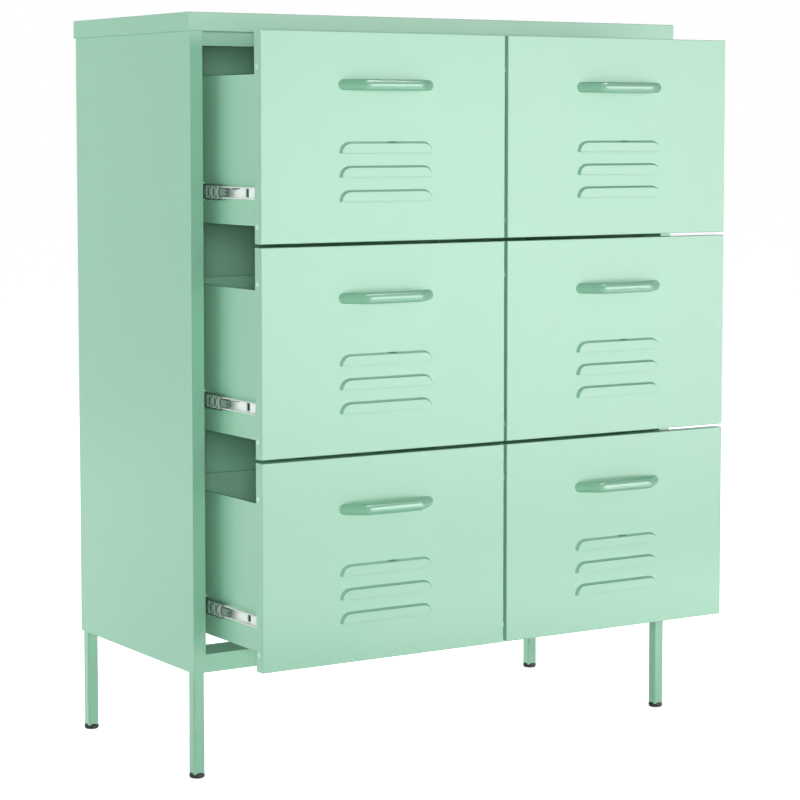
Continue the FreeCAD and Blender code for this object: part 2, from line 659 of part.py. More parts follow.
def make_box(name, column, row):
    """A tray with a hemmed rim, whose floor and sides are welded to the back of the front's plate."""
    body = new_body(f"box_{name}", DRAWER_FACE, row_bottom(row))
    thick = size("front_thick")
    low_x, high_x = span_of(column, BOX_IN, BOX_OUT)
    low, high = size("box_rise"), f"({size('box_rise')} + {BOX_TALL})"
    back = f"({thick} + {BOX_DEPTH})"
    extrude(body, "XY", low, BOX_TALL, [rectangle(low_x, thick, high_x, back)])
    inside = rectangle(f"{low_x} + {SHEET}", thick, f"{high_x} - {SHEET}", f"{back} - {SHEET}")
    extrude(body, "XY", f"{low} + {SHEET}", f"{BOX_TALL} - {SHEET} - {size('box_hem')}", [inside], cut=True)
    hem = f"(2 * {SHEET})"
    mouth = rectangle(f"{low_x} + {hem}", f"{thick} + {SHEET}", f"{high_x} - {hem}", f"{back} - {hem}")
    extrude(body, "XY", f"{high} - {size('box_hem')}", size("box_hem"), [mouth], cut=True)
    catch = size("slide_rise")
    slot = rectangle(f"{size('catch_at')} - {size('catch_width')} / 2", f"{catch} - {size('catch_height')} / 2",
                     f"{size('catch_at')} + {size('catch_width')} / 2", f"{catch} + {size('catch_height')} / 2")
    extrude(body, "YZ", low_x, f"{high_x} - {low_x}", [slot], cut=True)


def handle_side(inset):
    """One side of the right half of the bow in plan, from its foot to the grip, inset from the outside."""
    ramp = size("handle_ramp")
    radius = f"({size('handle_bend')} + {size('handle_thick')} - {inset})"
    reach = f"({size('handle_reach')} - {inset})"
    foot = f"({size('handle_length')} / 2 - {inset} / sin({ramp}))"
    bend_y = f"({reach} - {radius} * (1 - cos({ramp})))"
    bend_x = f"({foot} - {bend_y} / tan({ramp}))"
    grip_x = f"({bend_x} - {radius} * sin({ramp}))"
    return [(foot, "0"), (bend_x, bend_y), (grip_x, reach)], radius


def make_handle(name, column, row):
    """A bar bent to a bow, with its edges broken all along and a blind screw hole up each foot."""
    body = new_body(f"handle_{name}", DRAWER_FACE, f"{row_bottom(row)} + {HANDLE_LEVEL}")
    middle = times(column, FRONT_MIDDLE)
    (foot, bend, grip), radius = handle_side("0")
    (foot_in, bend_in, grip_in), radius_in = handle_side(size("handle_thick"))
    plan = [(-1, foot, None), (-1, bend, radius), (-1, grip, None), (1, grip, radius), (1, bend, None),
            (1, foot, None), (1, foot_in, None), (1, bend_in, radius_in), (1, grip_in, None),
            (-1, grip_in, radius_in), (-1, bend_in, None), (-1, foot_in, None)]
    sketch = new_sketch(body, "XY", f"-{size('handle_tall')} / 2")
    draw_outline(sketch, [(f"{middle} + {side} * {x}", f"-{y}", bent) for side, (x, y), bent in plan])
    bar = body.newObject("PartDesign::Pad", "Bar")
    bar.Profile = sketch
    bar.setExpression("Length", size("handle_tall"))
    wide = f"({size('handle_thick')} - {size('handle_edge')}) / 2"
    ease_edges(body, wide, lambda edge: edge.BoundBox.ZLength < 0.01 and edge.BoundBox.YMin < -0.01)
    holes = [square(f"{middle} + {sense} * {size('handle_screw_span')} / 2", "0", screw_hole()) for sense in (-1, 1)]
    extrude(body, "XZ", f"-{size('handle_screw_bite')}", size("handle_screw_bite"), holes, cut=True)


def make_screws(name, column, row):
    """The four screws in the sides of a front and the two that hold its handle."""
    bottom = row_bottom(row)
    radius = f"{size('screw_diameter')} / 2"
    pieces = []
    low_x, high_x = span_of(column, FRONT_IN, FRONT_OUT)
    y = f"{DRAWER_FACE} + {size('side_screw_depth')}"
    shank, head = size("side_screw_length"), size("side_screw_height")
    head_radius = f"{size('side_screw_head')} / 2"
    for level in side_screw_levels():
        z = f"{bottom} + {level}"
        head_step, shank_step = (8, head_radius, head), (4, radius, shank)
        pieces.append(spindle("side_screw", "x", (f"{low_x} - {head}", y, z), [head_step, shank_step]))
        pieces.append(spindle("side_screw", "x", (f"{high_x} - {shank}", y, z), [shank_step, head_step]))
    bite = f"({size('handle_screw_bite')} - {size('screw_clearance')})"
    start = f"{DRAWER_FACE} - {bite}"
    z = f"{bottom} + {HANDLE_LEVEL}"
    head_step = (8, f"{size('handle_screw_head')} / 2", size("handle_screw_height"))
    steps = [(4, radius, f"({bite} + {SHEET})"), head_step]
    for sense in (-1, 1):
        x = f"{times(column, FRONT_MIDDLE)} + {sense} * {size('handle_screw_span')} / 2"
        pieces.append(spindle("handle_screw", "y", (x, start, z), steps))
    group(f"screws_{name}", pieces)


def make_drawer(row_name, row, column_name, column):
    """Every piece of one drawer and of its slides."""
    name = f"{row_name}_{column_name}"
    group(f"front_{name}", [make_pan(name, column, row), make_plate(name, column, row)])
    make_box(name, column, row)
    make_handle(name, column, row)
    make_screws(name, column, row)
    make_drawer_members(name, column, row)
    make_ball_cages(name, column, row)
    make_cabinet_members(name, column, row)


def make_cabinet():
    """The shell, the rails and the legs."""
    make_lid()
    for name, side in COLUMNS.items():
        make_side_panel(f"side_panel_{name}", side)
    make_back_panel()
    make_partition()
    make_top_rail()
    make_bottom_rail("bottom_front_rail", FRONT_PLANE, 1, LEG_FRONT_Y)
    make_bottom_rail("bottom_rear_rail", REAR_PLANE, -1, LEG_REAR_Y)
    legs = list(leg_places())
    for leg in legs:
        make_leg(*leg)
    group("foot_glides", [make_glide(*leg) for leg in legs])
    group("leg_bolts", [make_leg_bolt(*leg) for leg in legs])


def check_and_write():
    """Stops on any failed object, then writes one STEP file for each sub-part."""
    doc.recompute()
    failed = [item.Name for item in doc.Objects if {"Invalid", "Error"} & set(item.State)]
    if failed:
        raise RuntimeError(f"failed objects: {failed}")
    for node in nodes:
        if node.Shape.isNull() or not node.Shape.isValid():
            raise RuntimeError(f"bad shape: {node.Label}")
    os.makedirs("parts", exist_ok=True)
    for node in nodes:
        node.Shape.exportStep(f"parts/{node.Label}.step")
    print(len(nodes), "sub-parts written")


make_cabinet()
for row, row_name in enumerate(ROWS):
    for column_name, column in COLUMNS.items():
        make_drawer(row_name, row, column_name, column)
check_and_write()
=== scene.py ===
import logging
import math
from dataclasses import dataclass, field
from enum import Enum
from typing import Iterable, Sequence

import bmesh
import bpy
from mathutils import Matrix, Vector


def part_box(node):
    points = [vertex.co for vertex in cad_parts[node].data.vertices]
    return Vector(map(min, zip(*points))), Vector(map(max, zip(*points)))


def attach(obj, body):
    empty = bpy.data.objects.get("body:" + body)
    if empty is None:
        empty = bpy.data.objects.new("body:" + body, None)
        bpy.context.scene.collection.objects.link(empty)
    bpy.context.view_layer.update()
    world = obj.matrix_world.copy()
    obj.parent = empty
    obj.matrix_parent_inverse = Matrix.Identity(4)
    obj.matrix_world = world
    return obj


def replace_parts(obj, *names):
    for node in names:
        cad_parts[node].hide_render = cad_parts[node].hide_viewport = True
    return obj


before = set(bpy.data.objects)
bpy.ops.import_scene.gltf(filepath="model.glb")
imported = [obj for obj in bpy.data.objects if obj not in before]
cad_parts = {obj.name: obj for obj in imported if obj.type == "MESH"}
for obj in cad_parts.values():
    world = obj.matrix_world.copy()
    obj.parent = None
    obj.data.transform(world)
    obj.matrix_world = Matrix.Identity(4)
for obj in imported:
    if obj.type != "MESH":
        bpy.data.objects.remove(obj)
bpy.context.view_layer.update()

LOG = logging.getLogger("drawer_cabinet")

Colour = tuple[float, float, float]
Point = tuple[float, float, float]
Span = tuple[float, float]
Profile = Sequence[tuple[float, float]]


def srgb(red: int, green: int, blue: int) -> Colour:
    """Turns a screen colour into the linear values that shaders take.

    Args:
        red: Red, from 0 to 255.
        green: Green, from 0 to 255.
        blue: Blue, from 0 to 255.

    Returns:
        The same colour in linear light.
    """
    def linear(level: int) -> float:
        """Turns one level, from 0 to 255, into its share of full light."""
        share = level / 255
        return share / 12.92 if share <= 0.04045 else ((share + 0.055) / 1.055) ** 2.4
    return linear(red), linear(green), linear(blue)


class Row(Enum):
    """The three rows of drawers, from the lid down."""

    TOP = "top"
    MIDDLE = "middle"
    BOTTOM = "bottom"


class Column(Enum):
    """The two columns of drawers, with the side of the middle that each lies on."""

    LEFT = -1
    RIGHT = 1

    @property
    def word(self) -> str:
        """The column's name as it stands in the node names."""
        return self.name.lower()


class Slot(Enum):
    """The record's material slots, one named for each of the scene's own pieces; nothing reads
    them.
    """

    PAINT = "mint_paint"
    ZINC = "zinc_steel"
    CAGE = "ball_cage"
    BLACK = "black_plastic"


# ---- shader effects that several finishes share ----
class NodeSet:
    """A node tree with short calls to add nodes and join them."""

    def __init__(self, tree: bpy.types.NodeTree) -> None:
        """Keeps the material's or the group's tree that the nodes go into."""
        self.tree = tree

    def add(self, kind: str, **settings: object) -> bpy.types.Node:
        """Adds a node.

        Args:
            kind: The node's type name.
            **settings: Properties, or input sockets by name with spaces as underscores.

        Returns:
            The new node.
        """
        node = self.tree.nodes.new(kind)
        for key, setting in settings.items():
            socket = key.replace("_", " ")
            if socket in node.inputs:
                node.inputs[socket].default_value = setting
            else:
                setattr(node, key, setting)
        return node

    def join(self, start: bpy.types.NodeSocket, end: bpy.types.NodeSocket) -> None:
        """Links an output to an input."""
        self.tree.links.new(start, end)


NewGroup = tuple[bpy.types.NodeTree, NodeSet, bpy.types.Node, bpy.types.Node]


def new_effect(name: str, inputs: dict[str, float], outputs: dict[str, str]) -> NewGroup:
    """Makes an empty shader node group with named sockets.

    Args:
        name: The group's name.
        inputs: Number inputs with their usual values.
        outputs: Outputs with their socket types.

    Returns:
        The group, its nodes, and its input and output nodes.
    """
    tree = bpy.data.node_groups.new(name, "ShaderNodeTree")
    for key, usual in inputs.items():
        socket = tree.interface.new_socket(name=key, in_out="INPUT", socket_type="NodeSocketFloat")
        socket.default_value = usual
    for key, kind in outputs.items():
        tree.interface.new_socket(name=key, in_out="OUTPUT", socket_type=kind)
    nodes = NodeSet(tree)
    return tree, nodes, nodes.add("NodeGroupInput"), nodes.add("NodeGroupOutput")


def orange_peel_effect() -> bpy.types.NodeTree:
    """Fine ripple of a sprayed and baked coat, as a height and as a mask.

    Returns:
        The node group, with inputs Scale and Cloud Scale and outputs Height and Cloud.
    """
    tree, nodes, given, result = new_effect(
        "orange_peel", {"Scale": 700.0, "Cloud Scale": 3.0},
        {"Height": "NodeSocketFloat", "Cloud": "NodeSocketFloat"})
    place = nodes.add("ShaderNodeTexCoord")
    fine = nodes.add("ShaderNodeTexNoise", Detail=2.0, Roughness=0.45)
    cloud = nodes.add("ShaderNodeTexNoise", Detail=3.0, Roughness=0.5)
    nodes.join(place.outputs["Object"], fine.inputs["Vector"])
    nodes.join(place.outputs["Object"], cloud.inputs["Vector"])
    nodes.join(given.outputs["Scale"], fine.inputs["Scale"])
    nodes.join(given.outputs["Cloud Scale"], cloud.inputs["Scale"])
    nodes.join(fine.outputs["Fac"], result.inputs["Height"])
    nodes.join(cloud.outputs["Fac"], result.inputs["Cloud"])
    return tree


def drawn_grain_effect() -> bpy.types.NodeTree:
    """Long streaks that rolling and drawing leave along a slide.

    Returns:
        The node group, with inputs Along and Across and output Streak.
    """
    tree, nodes, given, result = new_effect(
        "drawn_grain", {"Along": 12.0, "Across": 900.0}, {"Streak": "NodeSocketFloat"})
    place = nodes.add("ShaderNodeTexCoord")
    stretch = nodes.add("ShaderNodeCombineXYZ")
    scaled = nodes.add("ShaderNodeVectorMath", operation="MULTIPLY")
    noise = nodes.add("ShaderNodeTexNoise", Scale=1.0, Detail=2.0)
    nodes.join(given.outputs["Across"], stretch.inputs["X"])
    nodes.join(given.outputs["Along"], stretch.inputs["Y"])
    nodes.join(given.outputs["Across"], stretch.inputs["Z"])
    nodes.join(place.outputs["Object"], scaled.inputs[0])
    nodes.join(stretch.outputs["Vector"], scaled.inputs[1])
    nodes.join(scaled.outputs["Vector"], noise.inputs["Vector"])
    nodes.join(noise.outputs["Fac"], result.inputs["Streak"])
    return tree


class Effects:
    """The shared node groups, each built once."""

    def __init__(self) -> None:
        """Builds every group."""
        self.orange_peel = orange_peel_effect()
        self.drawn_grain = drawn_grain_effect()


# ---- finishes ----
@dataclass(frozen=True)
class Finish:
    """What every finish of this cabinet has: a name, a colour, a grain and softened edges."""

    name: str
    colour: Colour
    roughness: float
    edge_radius: float = 0.0006
    edge_samples: int = 6
    grain: float = 0.2
    grain_depth: float = 0.00005

    def start(self) -> tuple[bpy.types.Material, NodeSet, bpy.types.Node, bpy.types.Node]:
        """Makes the material with its shader, and a bump that stands on softened edges.

        Returns:
            The material, its nodes, its Principled BSDF and its Bump node.
        """
        material = bpy.data.materials.new(self.name)
        material.use_nodes = True
        nodes = NodeSet(material.node_tree)
        shader = material.node_tree.nodes["Principled BSDF"]
        shader.inputs["Base Color"].default_value = (*self.colour, 1)
        shader.inputs["Roughness"].default_value = self.roughness
        edge = nodes.add("ShaderNodeBevel", samples=self.edge_samples, Radius=self.edge_radius)
        bump = nodes.add("ShaderNodeBump", Strength=self.grain, Distance=self.grain_depth)
        nodes.join(edge.outputs["Normal"], bump.inputs["Normal"])
        nodes.join(bump.outputs["Normal"], shader.inputs["Normal"])
        return material, nodes, shader, bump

    def vary_roughness(self, nodes: NodeSet, shader: bpy.types.Node, mask: bpy.types.NodeSocket,
                       spread: float) -> None:
        """Lets the roughness wander about its value.

        Args:
            nodes: The material's nodes.
            shader: Its Principled BSDF.
            mask: What the roughness follows, from 0 to 1.
            spread: How far it goes either way.
        """
        wander = nodes.add("ShaderNodeMapRange")
        wander.inputs["To Min"].default_value = self.roughness - spread
        wander.inputs["To Max"].default_value = self.roughness + spread
        nodes.join(mask, wander.inputs["Value"])
        nodes.join(wander.outputs["Result"], shader.inputs["Roughness"])


@dataclass(frozen=True)
class PowderCoat(Finish):
    """Baked powder paint: even colour, a soft gloss and a faint ripple."""

    gloss: float = 0.45
    gloss_roughness: float = 0.25
    specular: float = 0.35
    cloud_tone: float = 0.97
    cloud_roughness: float = 0.03
    ripple: float = 0.12

    def material(self, effects: Effects) -> bpy.types.Material:
        """Builds the paint.

        Args:
            effects: The shared node groups.

        Returns:
            The material.
        """
        material, nodes, shader, bump = self.start()
        shader.inputs["Coat Weight"].default_value = self.gloss
        shader.inputs["Coat Roughness"].default_value = self.gloss_roughness
        shader.inputs["Specular IOR Level"].default_value = self.specular
        peel = nodes.add("ShaderNodeGroup", node_tree=effects.orange_peel)
        tone = nodes.add("ShaderNodeMix", data_type="RGBA")
        tone.inputs[6].default_value = (*(level * self.cloud_tone for level in self.colour), 1)
        tone.inputs[7].default_value = (*self.colour, 1)
        nodes.join(peel.outputs["Cloud"], tone.inputs[0])
        nodes.join(tone.outputs[2], shader.inputs["Base Color"])
        self.vary_roughness(nodes, shader, peel.outputs["Cloud"], self.cloud_roughness)
        bump.inputs["Strength"].default_value = self.ripple
        nodes.join(peel.outputs["Height"], bump.inputs["Height"])
        return material


@dataclass(frozen=True)
class DrawnSteel(Finish):
    """Zinc-plated strip, drawn to a channel, with fine streaks along its length."""

    metallic: float = 1.0
    streak: float = 0.08

    def material(self, effects: Effects) -> bpy.types.Material:
        """Builds the metal.

        Args:
            effects: The shared node groups.

        Returns:
            The material.
        """
        material, nodes, shader, bump = self.start()
        grain = nodes.add("ShaderNodeGroup", node_tree=effects.drawn_grain)
        shader.inputs["Metallic"].default_value = self.metallic
        self.vary_roughness(nodes, shader, grain.outputs["Streak"], self.streak)
        nodes.join(grain.outputs["Streak"], bump.inputs["Height"])
        return material


@dataclass(frozen=True)
class MouldedPlastic(Finish):
    """Plastic or rubber with a dull moulded skin."""

    skin_scale: float = 1500.0

    def material(self, effects: Effects) -> bpy.types.Material:
        """Builds the plastic or rubber.

        Args:
            effects: The shared node groups.

        Returns:
            The material.
        """
        material, nodes, _, bump = self.start()
        peel = nodes.add("ShaderNodeGroup", node_tree=effects.orange_peel)
        peel.inputs["Scale"].default_value = self.skin_scale
        nodes.join(peel.outputs["Height"], bump.inputs["Height"])
        return material


class Palette:
    """Every material of the cabinet, made once."""

    def __init__(self) -> None:
        """Builds the materials."""
        effects = Effects()
        self.paint = PowderCoat("mint_powder_coat", srgb(149, 207, 176), 0.45).material(effects)
        # a glossier, darker copy of the mint paint: the darker colour is painted shade of the
        # handle's ramps and underside
        self.enamel = PowderCoat(
            "handle_enamel", srgb(131, 196, 162), 0.45, gloss=0.7, gloss_roughness=0.1,
            ripple=0.02).material(effects)
        # a paler copy of the mint paint: painted highlight on the round screw heads
        self.screw = PowderCoat(
            "screw_painted_highlight", srgb(200, 238, 218), 0.3, gloss=1.0, gloss_roughness=0.15,
            ripple=0.0).material(effects)
        # a darker copy of the mint paint: painted shade of the dent on the top louvre
        self.pressed = PowderCoat(
            "dent_painted_shade", srgb(92, 146, 117), 0.6, gloss=0.0).material(effects)
        # light zinc plate, nearly all diffuse and tinted mint: partly the zinc's own pale colour,
        # partly painted reflection of the bright mint surroundings
        self.zinc = DrawnSteel(
            "zinc_plate", (0.87, 0.94, 0.905), 0.4, metallic=0.05).material(effects)
        self.plated = DrawnSteel("bright_zinc", (0.66, 0.72, 0.69), 0.3).material(effects)
        # the cage's grey-green steel, darkened further as painted shade; the tongues of the zinc
        # channels take it as painted shade too
        self.cage = DrawnSteel(
            "cage_steel", (0.27, 0.37, 0.31), 0.38, metallic=0.5).material(effects)
        # near-black green for the balls, and painted shade on the dark sheet behind the cage
        # windows
        self.ball = DrawnSteel(
            "dark_ball_and_painted_shade", (0.035, 0.075, 0.055), 0.3, metallic=0.2, streak=0.02).material(effects)
        self.bumper = MouldedPlastic("bumper_rubber", (0.15, 0.24, 0.19), 0.5).material(effects)
        self.black = MouldedPlastic("black_plastic", srgb(20, 30, 26), 0.6).material(effects)

    def dress(self, node: str, material: bpy.types.Material) -> None:
        """Puts a material on every slot of a CAD node.

        Args:
            node: The node's name.
            material: What it is finished with.
        """
        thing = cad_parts[node]
        if not thing.material_slots:
            thing.data.materials.append(material)
        for slot in thing.material_slots:
            slot.material = material


# ---- meshes ----
class Piece:
    """A mesh that is built ring by ring and then rides on a body."""

    def __init__(self, name: str) -> None:
        """Starts an empty mesh for the piece of that name."""
        self.name = name
        self.mesh = bmesh.new()

    def ring(self, points: Iterable[Sequence[float]]) -> list[bmesh.types.BMVert]:
        """Adds a ring of vertices at points in metres, and returns them."""
        return [self.mesh.verts.new(point) for point in points]

    def skin(self, first: list[bmesh.types.BMVert], second: list[bmesh.types.BMVert]) -> None:
        """Joins two rings of as many vertices with faces.

        Args:
            first: One ring.
            second: The next ring.
        """
        count = len(first)
        for index in range(count):
            after = (index + 1) % count
            self.mesh.faces.new((first[index], first[after], second[after], second[index]))

    def cap(self, ring: list[bmesh.types.BMVert]) -> None:
        """Closes a ring with one face."""
        self.mesh.faces.new(ring)

    def loft(self, rings: Sequence[list[bmesh.types.BMVert]]) -> None:
        """Joins rings to a closed solid.

        Args:
            rings: The rings, from one end to the other, with as many vertices each.
        """
        for first, second in zip(rings, rings[1:]):
            self.skin(first, second)
        self.cap(list(reversed(rings[0])))
        self.cap(rings[-1])

    def turned(self, foot: Point, direction: Point, profile: Profile, steps: int = 24) -> None:
        """Adds a turned solid.

        Args:
            foot: Where the axis starts.
            direction: Unit vector along the axis.
            profile: Pairs of a distance along the axis and a radius, from one end to the other.
            steps: Vertices in each ring.
        """
        along = Vector(direction)
        side = along.orthogonal().normalized()
        other = along.cross(side)
        rings = []
        for distance, radius in profile:
            centre = Vector(foot) + along * distance
            angles = [2 * math.pi * index / steps for index in range(steps)]
            rings.append(self.ring(
                centre + side * radius * math.cos(a) + other * radius * math.sin(a)
                for a in angles))
        self.loft(rings)

    def ball(self, centre: Point, radius: float) -> None:
        """Adds a ball of a radius round its centre."""
        made = bmesh.ops.create_icosphere(self.mesh, subdivisions=2, radius=radius)
        bmesh.ops.translate(self.mesh, verts=made["verts"], vec=Vector(centre))

    def place(self, body: str, slot: Slot, material: bpy.types.Material,
              sharp: float = 40.0) -> bpy.types.Object:
        """Turns the mesh into a piece of the scene.

        Args:
            body: The CAD body that it rides on.
            slot: The record's slot meant for it; not used.
            material: Its material.
            sharp: Angle in degrees above which an edge stays sharp.

        Returns:
            The object.
        """
        bmesh.ops.recalc_face_normals(self.mesh, faces=self.mesh.faces)
        for face in self.mesh.faces:
            face.smooth = True
        for edge in self.mesh.edges:
            edge.smooth = len(edge.link_faces) != 2 or edge.calc_face_angle() < math.radians(sharp)
        data = bpy.data.meshes.new(self.name)
        self.mesh.to_mesh(data)
        self.mesh.free()
        data.materials.append(material)
        thing = bpy.data.objects.new(self.name, data)
        bpy.context.scene.collection.objects.link(thing)
        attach(thing, body)
        LOG.info("%s rides on %s", self.name, body)
        return thing


# ---- one drawer ----
@dataclass
class HandleBow:
    """The oval bar on a drawer front, bent to a bow."""

    length: float = 0.145
    reach: float = 0.0243
    tall: float = 0.0140
    thick: float = 0.0094
    ramp: float = math.radians(40)
    inner_bend: float = 0.0113
    bend_steps: int = 10
    section_steps: int = 32

    def middle_line(self) -> list[tuple[float, float, float]]:
        """Works out the bar's middle line in plan, from the left foot to the right one.

        Returns:
            Points as the distance from the handle's middle, the distance out from the front, and
            the direction's angle from the front's plane.
        """
        half = self.thick / 2
        radius = self.inner_bend + half
        reach = self.reach - half
        foot = self.length / 2 - half / math.sin(self.ramp)
        bend_out = reach - radius * (1 - math.cos(self.ramp))
        bend_x = foot - bend_out / math.tan(self.ramp)
        grip_x = bend_x - radius * math.sin(self.ramp)
        side = [(foot, 0.0, self.ramp)]
        for step in range(self.bend_steps + 1):
            angle = self.ramp * (1 - step / self.bend_steps)
            out = reach - radius * (1 - math.cos(angle))
            side.append((grip_x + radius * math.sin(angle), out, angle))
        left = [(-x, out, angle) for x, out, angle in side]
        right = [(x, out, -angle) for x, out, angle in reversed(side)]
        return left + right

    def build(self, name: str, middle: Point) -> Piece:
        """Sweeps the oval section along the bow and cuts both feet flat on the front.

        Args:
            name: The piece's name.
            middle: The handle's middle on the front's face.

        Returns:
            The piece.
        """
        piece = Piece(name)
        rings = []
        line = self.middle_line()
        for index, (x, out, angle) in enumerate(line):
            across = (-math.sin(angle), math.cos(angle))
            along = (math.cos(angle), math.sin(angle))
            points = []
            for step in range(self.section_steps):
                turn = 2 * math.pi * step / self.section_steps
                wide = math.cos(turn) * self.thick / 2
                high = math.sin(turn) * self.tall / 2
                px, po = x + across[0] * wide, out + across[1] * wide
                if index in (0, len(line) - 1):
                    px, po = px - along[0] / along[1] * po, 0.0
                points.append((middle[0] + px, middle[1] - po, middle[2] + high))
            rings.append(piece.ring(points))
        piece.loft(rings)
        return piece


@dataclass
class SideScrews:
    """The round-headed screws in a drawer front's sides and behind its handle.

    Attributes:
        levels: Heights of the two side screws over the front's lower edge.
        head_dome: Shares of the head's height and of its radius, from the sheet outwards.
    """

    depth: float = 0.0092
    levels: tuple[float, float] = (0.0226, 0.2242)
    head_radius: float = 0.0038
    head_height: float = 0.0012
    head_dome: tuple[tuple[float, float], ...] = ((0.0, 1.0), (0.45, 0.93), (0.8, 0.7), (1.0, 0.3))
    shank_radius: float = 0.0018
    shank_length: float = 0.008
    handle_span: float = 0.1244
    handle_level: float = 0.2033
    handle_head_radius: float = 0.0035
    handle_head_height: float = 0.0024
    handle_head_taper: float = 0.8
    sheet: float = 0.001
    bite: float = 0.0048

    def shank(self, length: float) -> Profile:
        """Returns a shank's profile: distances along the screw with radii."""
        return [(0.0, self.shank_radius), (length, self.shank_radius)]

    def build(self, name: str, low: Vector, high: Vector, face_y: float) -> Piece:
        """Builds every screw of one front.

        Args:
            name: The piece's name.
            low: The front's lowest corner.
            high: The front's highest corner.
            face_y: The front's outer face.

        Returns:
            The piece.
        """
        piece = Piece(name)
        dome = [(self.head_height * up, self.head_radius * wide) for up, wide in self.head_dome]
        handle_head = [(0.0, self.handle_head_radius),
                       (self.handle_head_height, self.handle_head_radius * self.handle_head_taper)]
        for level in self.levels:
            for x, sense in ((low.x, -1.0), (high.x, 1.0)):
                place = (x, face_y + self.depth, low.z + level)
                piece.turned(place, (sense, 0, 0), dome)
                piece.turned(place, (-sense, 0, 0), self.shank(self.shank_length))
        for sense in (-1, 1):
            x = (low.x + high.x) / 2 + sense * self.handle_span / 2
            inner = (x, face_y + self.sheet, low.z + self.handle_level)
            piece.turned(inner, (0, 1, 0), handle_head)
            piece.turned(inner, (0, -1, 0), self.shank(self.sheet + self.bite))
        return piece


@dataclass
class BallRows:
    """The steel balls that a drawer's two cages carry."""

    radius: float = 0.0015
    across: float = 0.0070
    level: float = 0.0092
    pitch: float = 0.0115
    margin: float = 0.0045
    outer_base: float = 0.3793
    inner_base: float = 0.0006

    def build(self, name: str, side: int, front_y: float, rear_y: float,
              middle_z: float) -> Piece:
        """Builds the four rows of balls of one drawer.

        Args:
            name: The piece's name.
            side: -1 for the left column and 1 for the right one.
            front_y: Where the cages' steel starts.
            rear_y: Where it ends.
            middle_z: The slides' middle height.

        Returns:
            The piece.
        """
        piece = Piece(name)
        count = int((rear_y - front_y - 2 * self.margin) / self.pitch) + 1
        for x in (side * (self.outer_base - self.across), side * (self.inner_base + self.across)):
            for up in (-1, 1):
                for index in range(count):
                    y = front_y + self.margin + index * self.pitch
                    piece.ball((x, y, middle_z + up * self.level), self.radius)
        return piece


@dataclass
class SlideSide:
    """Where one slide of a drawer stands: its cabinet-side plane and the way to the drawer."""

    base: float
    sense: int
    middle_z: float

    def point(self, across: float, y: float, up: float) -> Point:
        """Turns a distance from the cabinet side, a depth and a rise into a place."""
        return self.base + self.sense * across, y, self.middle_z + up

    def bar(self, piece: Piece, across: Span, y: Span, up: Span) -> None:
        """Adds a strip of the cage between its two sides, its two ends and its two edges."""
        corners = ((across[0], up[0]), (across[1], up[0]), (across[1], up[1]), (across[0], up[1]))
        piece.loft([piece.ring(self.point(a, depth, z) for a, z in corners) for depth in y])


